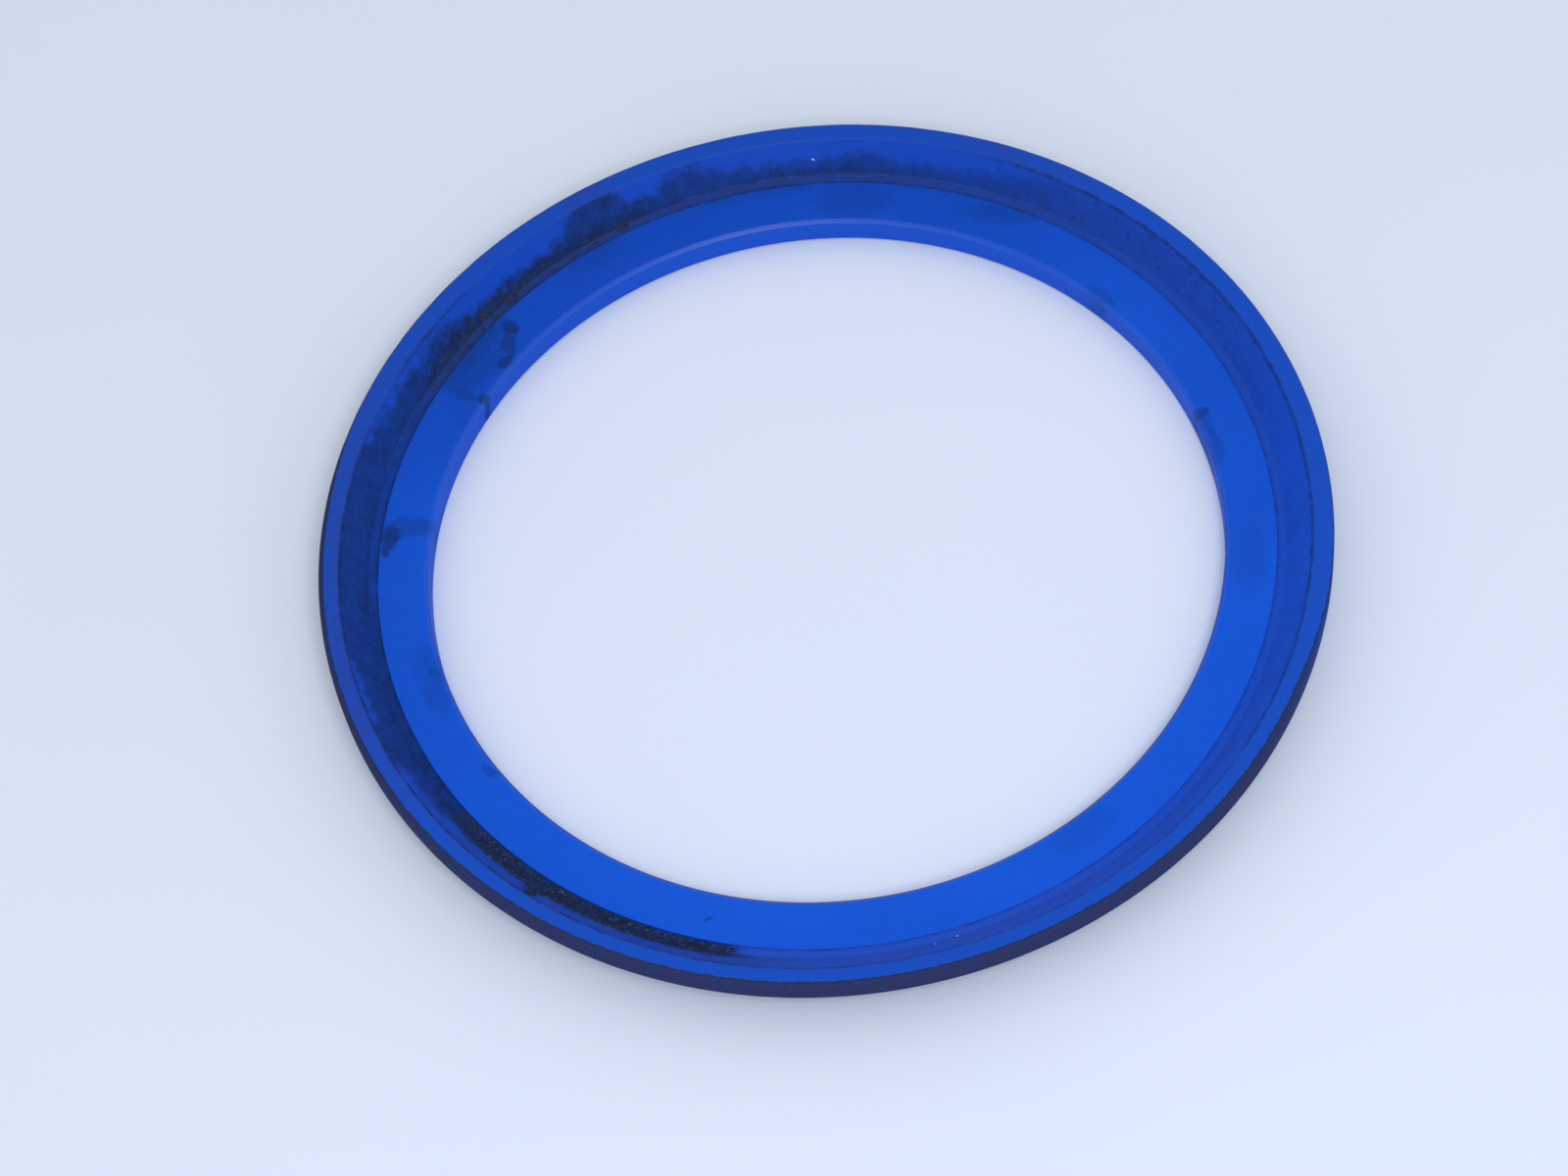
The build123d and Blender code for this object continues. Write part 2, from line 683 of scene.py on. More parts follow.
@dataclass
class Surface:
    """Colour and roughness of a finish, as its layers build up."""

    graph: ShaderGraph
    colour: Signal
    roughness: Operand

    def lay(self, cover: Signal, tint: Any, roughness: Optional[float] = None) -> None:
        """Lay a film over what is there.

        Args:
            cover: Share of the surface that the film hides.
            tint: Colour of the film.
            roughness: Roughness of the film, where it differs.
        """
        self.colour = self.graph.blend(cover, self.colour, tint)
        if roughness is not None:
            self.roughness = self.roughness + (roughness - self.roughness) * cover.least(1.0).most(0.0)


@dataclass(frozen=True)
class Smudge:
    """An oval mark or lump on the ring, with half its length along the ring and half its width across it."""

    bearing: float
    radius: float
    along: float
    across: float
    strength: float
    lean: float = 0.0

    def mask(self, place: RingPlace) -> Signal:
        """Find how much of the mark is at a place.

        Args:
            place: Place on the ring.

        Returns:
            The mark's strength in its middle, falling to 0 at its edge.
        """
        angle = -math.radians(self.bearing)
        turned = angle + math.radians(self.lean)
        outward = Vector((math.cos(turned), math.sin(turned)))
        off_x = place.x - math.cos(angle) * self.radius
        off_y = place.y - math.sin(angle) * self.radius
        off = (off_x * outward.x + off_y * outward.y) / self.across
        on = (off_y * outward.x - off_x * outward.y) / self.along
        return (off * off + on * on).ramp(1.0, 0.2) * self.strength


@dataclass(frozen=True)
class PolyurethaneFinish:
    """Blue polyurethane with the films, lines and smudges of its service, and painted shade, painted
    reflection and a painted highlight in its colour.
    """

    section: SealSection
    clean: Colour = Colour(16, 85, 211)
    # Darker blue of the far side: painted shade of the light's falloff, with some soiling.
    shaded_soiled_blue: Colour = Colour(13, 71, 184)
    # Darker blue of the lip's inner face: painted shade, with some film.
    lip: Colour = Colour(15, 69, 184)
    # Blue of the lip's land: painted shade.
    land: Colour = Colour(22, 72, 180)
    # Lighter, greyer blue of the bore wall: painted light reflected from the pale floor, with some dust.
    bore: Colour = Colour(28, 86, 204)
    dust: Colour = Colour(46, 84, 190)
    # Pale colour of the line at the lip's foot: dust, with a painted highlight.
    pale_dust_and_highlight: Colour = Colour(58, 88, 146)
    film: Colour = Colour(14, 43, 98)
    core: Colour = Colour(24, 36, 66)
    haze: Colour = Colour(38, 62, 148)
    soot: Colour = Colour(32, 46, 72)
    # Dark of the outer wall's dirt, also used for the painted shade under the lip and along the near bore
    # edge, and for the darker seat.
    grime_and_shade: Colour = Colour(40, 48, 86)
    rust: Colour = Colour(50, 44, 80)
    # Share of the darker blue by bearing, most on the far left: painted shade of the light's falloff, with
    # some soiling.
    far_shade_and_soil: Stops = (
        (0, 0.35), (40, 0.05), (110, 0.05), (150, 0.3), (200, 0.5), (235, 1.0), (290, 0.85), (330, 0.5),
        (360, 0.35),
    )
    dust_cover: Stops = (
        (0, 0.1), (30, 0.3), (60, 0.6), (90, 0.85), (105, 0.85), (114, 0.4), (130, 0.0), (300, 0.0),
        (360, 0.1),
    )
    haze_cover: Stops = (
        (0, 0.0), (98, 0.0), (112, 0.65), (140, 0.6), (160, 0.4), (175, 0.3), (205, 0.3), (240, 0.1),
        (300, 0.15), (315, 0.4), (345, 0.2), (360, 0.0),
    )
    film_cover: Stops = (
        (0, 0.0), (106, 0.0), (111, 0.75), (140, 0.9), (175, 0.85), (200, 0.9), (226, 1.0), (244, 1.05),
        (256, 0.95), (285, 0.8), (304, 0.6), (320, 0.3), (345, 0.15), (360, 0.0),
    )
    film_edge: Stops = (
        (0, 45.0), (104, 43.8), (110, 44.2), (140, 44.3), (154, 44.5), (158, 45.1), (162, 45.7),
        (166, 44.9), (172, 45.0), (177, 45.8), (199, 45.9), (205, 45.2), (218, 44.9), (224, 45.0),
        (228, 44.2), (240, 44.2), (244, 44.9), (248, 46.0), (252, 45.1), (256, 44.3), (260, 45.2),
        (266, 44.4), (279, 44.2), (284, 44.7), (289, 44.2), (304, 44.7), (320, 45.4), (360, 45.0),
    )
    core_cover: Stops = (
        (0, 0.0), (106, 0.0), (111, 0.8), (143, 0.85), (152, 0.5), (163, 0.2), (205, 0.15), (214, 0.5),
        (224, 0.85), (242, 0.8), (254, 0.7), (262, 0.5), (280, 0.5), (300, 0.2), (320, 0.0), (360, 0.0),
    )
    core_edge: Stops = (
        (0, 43.3), (108, 43.9), (140, 44.1), (150, 43.7), (205, 43.2), (218, 43.8), (228, 44.0),
        (240, 43.8), (252, 43.8), (257, 43.3), (280, 43.6), (300, 43.2), (360, 43.3),
    )
    # Cover of the pale foot line by bearing, most on the far side: dust, with a painted highlight.
    foot_dust_and_highlight: Stops = (
        (0, 0.15), (60, 0.1), (100, 0.0), (198, 0.0), (210, 0.3), (222, 0.05), (258, 0.05), (265, 0.45),
        (290, 0.4), (320, 0.2), (360, 0.15),
    )
    spot_cover: Stops = (
        (0, 0.15), (25, 0.1), (50, 0.0), (290, 0.0), (305, 0.4), (330, 0.45), (350, 0.2), (360, 0.15),
    )
    lip_line: Stops = (
        (0, 0.75), (20, 0.75), (60, 0.45), (95, 0.6), (150, 0.9), (205, 0.5), (212, 0.1), (218, 0.7),
        (228, 0.5), (232, 0.05), (290, 0.05), (302, 0.6), (318, 0.8), (360, 0.75),
    )
    land_soil: Stops = (
        (0, 0.0), (145, 0.0), (170, 0.6), (200, 0.55), (222, 0.2), (243, 0.1), (248, 0.6), (254, 0.1),
        (290, 0.1), (305, 0.3), (320, 0.0), (360, 0.0),
    )
    grime_start: Stops = (
        (0, 47.44), (20, 47.35), (42, 46.97), (180, 46.97), (200, 47.1), (225, 47.44), (360, 47.44),
    )
    # Cover by bearing of the outer wall's dirt and of the painted shade under the lip.
    wall_grime_and_undercut_shade: Stops = ((0, 0.35), (20, 0.45), (45, 1.0), (200, 1.0), (230, 0.6), (330, 0.5), (360, 0.35))
    # Dark line along the near bore edge, by bearing: painted shade.
    bore_edge_shade: Stops = ((0, 0.4), (25, 0.8), (150, 0.8), (190, 0.3), (215, 0.0), (330, 0.0), (360, 0.4))
    wall_soil: Point = (47.0, 5.1)
    # Corner of the painted shade under the lip's overhang.
    undercut_shade: Point = (44.0, 3.7)
    # Height below which the seat is darker.
    dark_seat_height: float = 0.25
    # Height above which the painted shade along the bore edge starts.
    edge_shade_height: float = 2.7
    edge_polish_height: float = 2.6
    greatest_polish: float = 0.4
    drips: tuple[Smudge, ...] = (Smudge(134.4, 44.3, 1.5, 0.7, 1.0), Smudge(134.1, 44.8, 0.75, 1.0, 1.0))
    smudges: tuple[Smudge, ...] = (
        Smudge(193.0, 41.4, 1.5, 1.2, 1.0),
        Smudge(191.0, 41.7, 1.2, 0.6, 0.9),
        Smudge(194.6, 39.6, 1.4, 3.0, 0.45),
        Smudge(217.5, 40.1, 0.8, 3.0, 0.5),
        Smudge(217.6, 37.8, 0.8, 0.8, 0.9),
        Smudge(224.7, 38.4, 1.5, 0.8, 0.9),
        Smudge(227.2, 39.5, 0.9, 1.8, 0.75, -38.0),
        Smudge(229.6, 40.8, 1.1, 1.5, 0.9),
        Smudge(223.5, 41.8, 6.0, 1.8, 0.55),
        Smudge(222.5, 40.4, 5.0, 2.6, 0.35),
        Smudge(246.0, 41.6, 4.5, 2.0, 0.2),
        Smudge(270.0, 42.0, 9.0, 1.0, 0.2),
        Smudge(113.7, 40.24, 0.3, 0.3, 0.75),
        Smudge(152.0, 38.15, 1.2, 0.5, 0.5, 20.0),
        Smudge(170.2, 38.35, 0.9, 0.7, 0.6),
        Smudge(169.0, 38.8, 5.0, 1.6, 0.25),
        Smudge(349.2, 38.0, 0.9, 0.9, 0.7),
        Smudge(354.0, 38.0, 4.0, 1.1, 0.35),
        Smudge(303.5, 41.2, 5.0, 1.5, 0.3, 14.0),
        Smudge(283.0, 40.0, 5.0, 2.6, 0.25),
        Smudge(323.7, 38.0, 2.4, 1.0, 0.3),
        Smudge(62.0, 39.2, 4.5, 2.0, 0.2),
        Smudge(14.0, 39.8, 5.0, 2.2, 0.2),
    )

    def material(self) -> bpy.types.Material:
        """Build the material.

        Returns:
            Material for the ring.
        """
        graph = ShaderGraph("worn_polyurethane")
        place = graph.place()
        fine = place.noise(0.35, 5.0, 0.75) - 0.5
        broad = place.noise(12.0, 4.0) - 0.5
        # Random unevenness of tone, with the painted far-side shade.
        tone_and_far_shade = place.round(self.far_shade_and_soil) + broad * 0.9 + fine * 0.8
        surface = Surface(graph, graph.blend(tone_and_far_shade, self.clean, self.shaded_soiled_blue), 0.5)
        self._shade_lip_and_light_bore(surface, place, fine)
        self._lay_dust(surface, place, fine)
        self._lay_film(surface, place, fine)
        self._draw_lines(surface, place, fine)
        self._smudge(surface, place, fine)
        self._soil_and_shade_outside(surface, place, fine)
        relief = fine * 0.006 + place.noise(2.5, 2.0) * 0.02
        return graph.finish(surface, relief, gloss=0.07, polish=self._polish(place))

    def _shade_lip_and_light_bore(self, surface: Surface, place: RingPlace, fine: Signal) -> None:
        """Paint the lip's faces and land darker, and the bore wall lighter, than the clamp face: painted
        shade, with some film, on the lip, and painted light reflected from the pale floor, with some dust, on
        the bore wall.

        Args:
            surface: Surface so far.
            place: Place on the ring.
            fine: Fine noise about 0.
        """
        edge = self.section.land_edge[0]
        slope = place.band(self.section.groove_outer_radius - 0.1, edge, 0.1)
        cloud = place.noise(2.5, 5.0, 0.65) - 0.5
        # Darker blues on the lip's inner face and land: painted shade, with some film on the face.
        surface.lay(slope * (cloud * 2.2 + fine + 0.7), self.lip)
        surface.lay(place.band(edge, self.section.sealing_radius + 1.0, 0.08) * (fine + 0.8), self.land)
        # Lighter blue on the bore wall: painted light reflected from the pale floor, with some dust.
        wall = (place.radius - self.section.bore_radius).ramp(0.2, 0.05)
        surface.lay(wall * (fine * 0.6 + 0.75), self.bore)

    def _lay_dust(self, surface: Surface, place: RingPlace, fine: Signal) -> None:
        """Dust the lip's inner face.

        Args:
            surface: Surface so far.
            place: Place on the ring.
            fine: Fine noise about 0.
        """
        foot = self.section.groove_outer_radius
        ragged = place.scattered(1.2, 0.25, 4.0)
        dust = ragged.band(foot - 0.5, self.section.land_edge[0] - 0.25, 0.6) * place.round(self.dust_cover)
        surface.lay(dust * (fine * 1.6 + 0.85), self.dust, 0.85)

    def _lay_film(self, surface: Surface, place: RingPlace, fine: Signal) -> None:
        """Lay the haze, the oily film and the film's dark core on the lip's inner face.

        Args:
            surface: Surface so far.
            place: Place on the ring.
            fine: Fine noise about 0.
        """
        face = place.band(self.section.clamp_face_radius + 0.02, self.section.land_edge[0] + 0.02, 0.08)
        cloud = place.noise(1.3, 5.0, 0.7) - 0.5
        surface.lay(face * place.round(self.haze_cover) * (cloud * 2.0 + 0.85), self.haze, 0.7)
        ragged = place.scattered(1.3, 0.5, 5.0)
        film = ragged.within(place.round(self.film_edge), 1.0)
        for drip in self.drips:
            film = film.most(drip.mask(ragged))
        oily = cloud + fine * 0.8 + 0.8
        surface.lay(film * face * place.round(self.film_cover) * oily, self.film, 0.6)
        core = ragged.within(place.round(self.core_edge), 0.6) * face
        caked = cloud * 1.4 + fine * 1.4 + 0.75
        surface.lay(core * place.round(self.core_cover) * caked, self.core, 0.8)
        spots = place.noise(0.9, 3.0, 0.6).ramp(0.56, 0.68) * place.round(self.spot_cover)
        surface.lay(spots * face, self.film, 0.6)

    def _draw_lines(self, surface: Surface, place: RingPlace, fine: Signal) -> None:
        """Draw the dirt and dust that lie along the lip's foot, along its inner edge and on its land, with a
        painted highlight in the pale line at the foot.

        Args:
            surface: Surface so far.
            place: Place on the ring.
            fine: Fine noise about 0.
        """
        foot, edge = self.section.groove_outer_radius, self.section.land_edge[0]
        wavering = place.scattered(1.5, 0.06, 4.0)
        broken = place.noise(1.4, 5.0, 0.75).ramp(0.38, 0.6)
        # Pale line along the lip's foot: dust, with a painted highlight where it is strongest on the far
        # side.
        pale = wavering.band(foot - 0.02, foot + 0.16, 0.14) * place.round(self.foot_dust_and_highlight)
        surface.lay(pale * (0.6 + 0.4 * broken + fine * 0.8), self.pale_dust_and_highlight, 0.85)
        line = wavering.band(edge - 0.22, edge + 0.08, 0.2) * place.round(self.lip_line)
        surface.lay(line * (0.3 + 0.7 * broken), self.film, 0.7)
        soil = place.band(edge, self.section.sealing_radius, 0.2) * place.round(self.land_soil)
        surface.lay(soil * (0.3 + 0.9 * broken), self.haze, 0.7)

    def _smudge(self, surface: Surface, place: RingPlace, fine: Signal) -> None:
        """Smudge the clamp face.

        Args:
            surface: Surface so far.
            place: Place on the ring.
            fine: Fine noise about 0.
        """
        ragged = place.scattered(1.2, 0.5, 5.0)
        stain = self.smudges[0].mask(ragged)
        for smudge in self.smudges[1:]:
            stain = stain.most(smudge.mask(ragged))
        cloud = place.noise(1.5, 5.0, 0.7) - 0.5
        face = place.band(0.0, self.section.clamp_face_radius + 0.3, 0.05)
        surface.lay(stain * face * (cloud + fine * 0.6 + 0.8), self.film, 0.6)

    def _soil_and_shade_outside(self, surface: Surface, place: RingPlace, fine: Signal) -> None:
        """Soil the crest and the outer wall, paint shade under the lip and along the near bore edge, and
        darken the seat.

        Args:
            surface: Surface so far.
            place: Place on the ring.
            fine: Fine noise about 0.
        """
        graph = place.graph
        mottle = place.noise(1.4, 4.0, 0.6)
        jagged = place.scattered(0.7, 0.1, 5.0).radius - place.round(self.grime_start)
        radius, height = self.wall_soil
        wall = (height - place.height).ramp(-0.1, 0.1) * (place.radius - radius).ramp(0.0, 0.1)
        rim = jagged.ramp(-0.04, 0.06).most(wall)
        # Dark under the lip's overhang: painted shade, laid in one layer with the outer wall's dirt.
        radius, height = self.undercut_shade
        under = (place.height - height).ramp(0.2, -0.2) * (place.radius - radius).ramp(-0.3, 0.3)
        grime_and_shade = graph.blend(mottle.ramp(0.5, 0.65), self.grime_and_shade, self.rust)
        surface.lay(rim.most(under) * place.round(self.wall_grime_and_undercut_shade) * (fine + 0.95), grime_and_shade, 0.8)
        surface.lay(jagged.ramp(-0.06, 0.03) * jagged.ramp(0.28, 0.05) * 0.8, self.soot, 0.8)
        # The seat is darker towards the bottom, in patches.
        seat = (place.height - self.dark_seat_height).ramp(0.15, -0.15) * (mottle * 1.2 - 0.2)
        surface.lay(seat * 0.6, self.grime_and_shade, 0.7)
        # Dark line along the near side's bore edge: painted shade.
        above = (place.height - self.edge_shade_height).ramp(0.0, 0.2)
        bore = (place.radius - self.section.bore_radius).ramp(0.3, 0.1) * above
        surface.lay(bore * place.round(self.bore_edge_shade) * (mottle + 0.5), self.grime_and_shade, 0.7)

    def _polish(self, place: RingPlace) -> Signal:
        """Weight of the polish that handling left on the bore's edge and the lip's edge.

        Args:
            place: Place on the ring.

        Returns:
            Weight of the coat.
        """
        edge = self.section.land_edge[0]
        above = (place.height - self.edge_polish_height).ramp(0.0, 0.15)
        bore = (place.radius - self.section.bore_radius).ramp(0.5, 0.3) * above
        lip = place.band(edge - 0.12, edge + 0.15, 0.1)
        return bore.most(lip * 0.25) * place.noise(3.0, 4.0).ramp(0.1, 0.5) * self.greatest_polish


@dataclass(frozen=True)
class DustFinish:
    """Fine dust that has packed in the groove, blue from the ring, dark where it is oily, and with painted
    shade, partly dirt, along its inner edge at the clamp face.
    """

    section: SealSection
    blue: Colour = Colour(20, 76, 198)
    grey: Colour = Colour(42, 80, 188)
    brown: Colour = Colour(44, 56, 98)
    # Dark blue of oily dust, also used for the painted shade along the dust's inner edge.
    dark: Colour = Colour(14, 40, 94)
    greyness: Stops = (
        (0, 0.2), (30, 0.2), (60, 0.4), (90, 0.65), (106, 0.65), (114, 0.3), (150, 0.1), (300, 0.1),
        (360, 0.2),
    )
    brownness: Stops = (
        (0, 0.15), (30, 0.0), (200, 0.0), (215, 0.5), (230, 0.9), (262, 0.8), (300, 0.6), (330, 0.3),
        (360, 0.15),
    )
    darkness: Stops = (
        (0, 0.0), (106, 0.0), (111, 0.7), (150, 0.85), (175, 0.75), (195, 0.55), (215, 0.6), (245, 0.5),
        (262, 0.4), (290, 0.3), (310, 0.15), (330, 0.0), (360, 0.0),
    )

    def material(self) -> bpy.types.Material:
        """Build the material.

        Returns:
            Material for the dust.
        """
        graph = ShaderGraph("packed_dust")
        place = graph.place()
        grain = place.noise(0.3, 4.0, 0.75) - 0.5
        blotch = place.noise(1.6, 5.0, 0.7) - 0.5
        surface = Surface(graph, graph.blend(grain * 1.5 + 0.2, self.blue, self.dark), 0.85)
        surface.lay(place.round(self.greyness) + grain * 1.2, self.grey)
        surface.lay(place.round(self.darkness) * (1.0 + blotch * 1.4 + grain * 0.8), self.dark)
        surface.lay(place.round(self.brownness) * (0.6 + blotch * 1.6 + grain * 1.6), self.brown)
        # Dark band along the dust's inner edge, against the clamp face: painted shade, partly dirt.
        inner = place.scattered(1.2, 0.12, 4.0).band(0.0, self.section.clamp_face_radius + 0.2, 0.2)
        surface.lay(inner * (0.25 + blotch * 1.5 + place.round(self.darkness) * 0.6), self.dark)
        return graph.finish(surface, grain * 0.05, gloss=0.07)


@dataclass(frozen=True)
class CrustFinish:
    """Caked dirt, black and navy, with olive grains where it is dry."""

    black: Colour = Colour(24, 34, 56)
    navy: Colour = Colour(20, 46, 100)
    brown: Colour = Colour(40, 52, 86)
    olive: Colour = Colour(82, 98, 84)
    far_turn: float = 0.55
    far_cover: float = 0.7
    grease: Stops = (
        (0, 1.0), (104, 0.5), (112, 0.35), (140, 0.3), (152, 0.8), (205, 0.9), (224, 0.5), (240, 0.35),
        (256, 0.4), (270, 0.8), (360, 1.0),
    )

    def material(self) -> bpy.types.Material:
        """Build the material.

        Returns:
            Material for the crust and its grit.
        """
        graph = ShaderGraph("caked_dirt")
        place = graph.place()
        grain = place.noise(0.3, 4.0, 0.75)
        blotch = place.noise(0.9, 5.0, 0.7)
        grease = place.round(self.grease)
        greasy = grease + 0.1 + (blotch - 0.5) * 3.0
        surface = Surface(graph, graph.blend(greasy, self.black, self.navy), 0.85)
        far = (place.turn - self.far_turn).ramp(0.0, 0.05) * self.far_cover
        surface.lay(far * grain.ramp(0.35, 0.6), self.brown)
        surface.lay(grain.ramp(0.55, 0.66) * (1.1 - grease) * (1.0 - far), self.olive)
        return graph.finish(surface, (grain - 0.5) * 0.05, gloss=0.1)


@dataclass(frozen=True)
class PlainFinish:
    """Two colours mixed by one noise, which also roughens the surface."""

    name: str
    first: Colour
    second: Colour
    size: float
    detail: float
    roughening: float
    relief: float

    def material(self) -> bpy.types.Material:
        """Build the material.

        Returns:
            Material of the finish's name.
        """
        graph = ShaderGraph(self.name)
        grain = graph.place().noise(self.size, self.detail)
        colour = graph.blend(grain, self.first, self.second)
        surface = Surface(graph, colour, grain * self.roughening + 0.75)
        return graph.finish(surface, grain * self.relief, gloss=0.1)


LINT = PlainFinish("pale_lint", Colour(190, 200, 215), Colour(120, 140, 190), 0.08, 3.0, 0.2, 0.02)
TABLE_TOP = PlainFinish("pale_table", Colour(217, 228, 246), Colour(212, 224, 243), 60.0, 2.0, 0.1, 0.01)


@dataclass
class SealRing:
    """The seal itself, turned from its section, with a lightly worn crest."""

    section: SealSection
    segments: int = 540
    wear: float = 0.05
    give: float = 0.7

    def build(self) -> bpy.types.Object:
        """Turn the ring and dress it.

        Returns:
            The ring, which stands for the solid seal.
        """
        outline = [SectionPoint(point, self._give(point)) for point in self.section.outline()]
        tree = SweptTree("turned_ring", self._crest_wear)
        ring = tree.sweep("seal_ring", outline, self.segments, PolyurethaneFinish(self.section).material())
        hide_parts(NODE)
        return ring

    def _give(self, point: Vector) -> Vector:
        """Find how much a point of the section wears.

        Args:
            point: Point of the section.

        Returns:
            Share of the wear outwards and upwards, which points to the middle of the lip on the crest.
        """
        radius, height = self.section.crest_edge
        if point.x > radius - 0.1 and point.y > height - self.section.crest_radius:
            return Vector((-self.give, -self.give))
        return Vector((0.0, 0.0))

    def _crest_wear(self, place: RingPlace) -> Signal:
        """Depth of the wear at a place on the crest."""
        return (place.noise(2.2, 4.0, 0.6) - 0.45).most(0.0) * (2.0 * self.wear)


@dataclass
class GrooveDust:
    """Dust that fills the root groove nearly to the clamp face."""

    section: SealSection
    segments: int = 540
    shortfall: float = 0.05
    overlap: float = 0.03
    ripple: float = 0.06
    heap: float = 0.12
    steps: int = 7

    def build(self) -> bpy.types.Object:
        """Lay the dust in the groove.

        Returns:
            Closed ring of dust, which runs into the groove's walls.
        """
        tree = SweptTree("groove_dust_rule", self._ripples)
        return tree.sweep("groove_dust", self._section(), self.segments, DustFinish(self.section).material())

    def _section(self) -> list[SectionPoint]:
        """Draw the section of the dust.

        Returns:
            Its free top, then its bottom in the groove's floor.
        """
        left = self.section.clamp_face_radius - self.overlap
        right = self.section.groove_outer_radius + 3.0 * self.overlap
        top = self.section.heel_thickness - self.shortfall
        bottom = self.section.groove_floor - self.overlap
        up = Vector((0.0, 1.0))
        points = []
        for step in range(self.steps + 1):
            share = step / self.steps
            crown = top + self.heap * share**3
            points.append(SectionPoint(Vector((left + (right - left) * share, crown)), up))
        points.append(SectionPoint(Vector((self.section.groove_outer_radius + self.overlap, bottom))))
        points.append(SectionPoint(Vector((left, bottom))))
        return points

    def _ripples(self, place: RingPlace) -> Signal:
        """Make the dust's top uneven.

        Args:
            place: Place on the dust.

        Returns:
            Height of the ripples there.
        """
        fine = place.noise(0.5, 3.0) - 0.5
        broad = place.noise(4.0, 2.0) - 0.5
        return fine * (2.0 * self.ripple) + broad * self.ripple


@dataclass
class CakedCrust:
    """Crust of caked dirt over a stretch of the groove and the foot of the lip, with grit on it."""

    section: SealSection
    name: str
    start: float
    end: float
    build_up: Stops
    outer_edge: Stops
    drips: tuple[Smudge, ...]
    grain_share: Stops
    inner_edge: float = 42.36
    grid_step: float = 0.16
    bed_step: float = 0.12
    bed_depth: float = 0.14
    sink: float = 0.04
    grain_sizes: tuple[float, float] = (0.05, 0.14)
    grain_density: float = 5.0e6
    grain_seed: int = 7
    fade: float = 1.5
    lump_floor: float = 0.36
    lump_gain: float = 5.0

    def build(self) -> list[bpy.types.Object]:
        """Cake the dirt on and scatter its grit.

        Returns:
            The crust and the grit.
        """
        material = CrustFinish().material()
        length = math.radians(self.end - self.start) * self.section.groove_outer_radius
        tree = SweptTree(f"{self.name}_rule", self._thickness)
        segments = round(length / self.grid_step)
        crust = tree.sweep(self.name, self._section(), segments, material, self.start, self.end)
        grains = GrainTree(f"{self.name}_grit_rule", lambda place: place.round(self.grain_share))
        smallest, largest = self.grain_sizes
        sizes = {"Density": self.grain_density, "Smallest": smallest, "Largest": largest}
        bed = {"Bed": crust, "Finish": material, "Seed": self.grain_seed}
        return [crust, grains.make(f"{self.name}_grit", {**bed, **sizes})]

    def _bed(self) -> list[tuple[Vector, Vector]]:
        """Follow the surface that the crust lies on.

        Returns:
            Places in equal steps outwards, and the normal at each.
        """
        section = self.section
        inner, outer, top = section.clamp_face_radius, section.groove_outer_radius, section.heel_thickness
        knots = [(inner + 0.02, top - 0.1), (inner + 0.2, top - 0.07), (outer, top - 0.01)]
        slope = (outer + 0.15, section.land_edge[0] - 0.05)
        knots += [(radius, section.lip_face_height(radius)) for radius in slope]
        line = [Vector(knots[0])]
        for start, end in zip(map(Vector, knots), map(Vector, knots[1:])):
            count = max(1, round((end - start).length / self.bed_step))
            line += [start.lerp(end, number / count) for number in range(1, count + 1)]
        bed = []
        for index, place in enumerate(line):
            run = line[min(index + 2, len(line) - 1)] - line[max(index - 2, 0)]
            bed.append((place, Vector((-run.y, run.x)).normalized()))
        return bed

    def _section(self) -> list[SectionPoint]:
        """Draw the section of the crust.

        Returns:
            Its free top, then its bottom below the surface.
        """
        bed = self._bed()
        top = [SectionPoint(place, normal) for place, normal in bed]
        return top + [SectionPoint(place - normal * self.bed_depth) for place, normal in reversed(bed)]

    def _thickness(self, place: RingPlace) -> Signal:
        """Find the crust's thickness.

        Args:
            place: Place on the crust's bed.

        Returns:
            How far the crust stands above the surface there, below 0 where there is none.
        """
        ragged = place.scattered(0.9, 0.4, 5.0)
        cover = ragged.within(place.round(self.outer_edge), 0.5)
        lumps = place.noise(0.75, 5.0, 0.7)
        heaped = ((lumps - self.lump_floor) * self.lump_gain).most(0.0)
        depth = cover * ragged.round(self.build_up) * heaped
        for drip in self.drips:
            depth = depth.most(drip.mask(ragged) * (lumps + 0.4))
        first = place.turn.ramp(self.start / 360.0, (self.start + self.fade) / 360.0)
        last = place.turn.ramp(self.end / 360.0, (self.end - self.fade) / 360.0)
        inside = (place.radius - self.inner_edge).ramp(0.0, 0.15)
        return (depth * inside - self.sink + self.bed_depth) * (first * last) - self.bed_depth


def near_crust(section: SealSection) -> CakedCrust:
    """Describe the crust on the near left of the ring, dry and full of grit.

    Args:
        section: The seal's section.

    Returns:
        The crust, ready to build.
    """
    return CakedCrust(
        section,
        name="near_crust",
        start=107.5,
        end=158.0,
        build_up=(
            (0, 0.0), (108.5, 0.0), (110, 0.14), (125, 0.18), (143, 0.16), (150, 0.08), (158, 0.0),
            (360, 0.0),
        ),
        outer_edge=((0, 43.4), (107, 43.8), (112, 44.1), (125, 44.2), (140, 44.3), (150, 43.9), (360, 43.4)),
        drips=(Smudge(134.4, 44.3, 1.3, 0.6, 0.14), Smudge(134.1, 44.8, 0.6, 0.9, 0.14)),
        grain_share=((0, 0.0), (107, 0.2), (111, 1.0), (138, 0.9), (150, 0.2), (160, 0.0), (360, 0.0)),
    )


